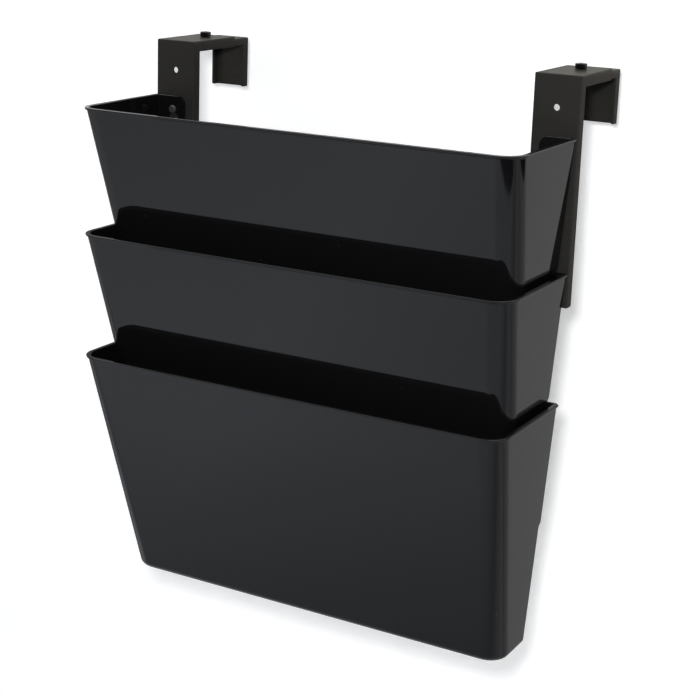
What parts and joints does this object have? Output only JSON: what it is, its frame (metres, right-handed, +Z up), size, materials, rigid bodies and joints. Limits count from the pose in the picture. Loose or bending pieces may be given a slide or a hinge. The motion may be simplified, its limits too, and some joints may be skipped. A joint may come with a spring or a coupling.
{
  "type": "wall file",
  "caption": "Stacked tapered letter-size file pockets, nested into each other, on adjustable hangers that hook over the top edge of an office partition.",
  "frame": {"origin": "on the front top edge of the partition that the file hangs on, midway between the hangers", "axes": "+Z up, +X along the partition to the right of someone facing the file, -Y out of the partition towards that person; the partition lies behind Y = 0 and below Z = 0"},
  "size_m": [0.3298, 0.1739, 0.3984],
  "materials": {
    "pocket_plastic": "polished black injection moulding",
    "hanger_paint": "satin black paint on bent sheet steel",
    "black_screws": "black oxide steel",
    "zinc_nuts": "zinc plate"
  },
  "bodies": {
    "pocket_stack": {"top_pocket": "pocket_plastic", "middle_pocket": "pocket_plastic", "bottom_pocket": "pocket_plastic", "left_strap": "hanger_paint", "right_strap": "hanger_paint", "left_clamp_nut": "zinc_nuts", "right_clamp_nut": "zinc_nuts", "left_top_screw": "black_screws", "right_top_screw": "black_screws", "left_middle_screw": "black_screws", "right_middle_screw": "black_screws", "left_bottom_screw": "black_screws", "right_bottom_screw": "black_screws", "left_top_nut": "zinc_nuts", "right_top_nut": "zinc_nuts", "left_middle_nut": "zinc_nuts", "right_middle_nut": "zinc_nuts", "left_bottom_nut": "zinc_nuts", "right_bottom_nut": "zinc_nuts"},
    "left_hook": {"left_rear_hook": "hanger_paint"},
    "right_hook": {"right_rear_hook": "hanger_paint"},
    "left_clamp": {"left_clamp_screw": "black_screws"},
    "right_clamp": {"right_clamp_screw": "black_screws"}
  },
  "joints": [
    {"name": "left_hook_slide", "type": "slide", "parent": "pocket_stack", "child": "left_hook", "axis": [0, 1, 0], "range_m": [-0.0095, 0.0205]},
    {"name": "right_hook_slide", "type": "slide", "parent": "pocket_stack", "child": "right_hook", "axis": [0, 1, 0], "range_m": [-0.0095, 0.0205]},
    {"name": "left_clamp_turn", "type": "hinge", "parent": "pocket_stack", "child": "left_clamp", "pos_m": [-0.14825, 0.0315, 0.0078], "axis": [0, 0, 1], "continuous": true},
    {"name": "right_clamp_turn", "type": "hinge", "parent": "pocket_stack", "child": "right_clamp", "pos_m": [0.14825, 0.0315, 0.0078], "axis": [0, 0, 1], "continuous": true}
  ]
}
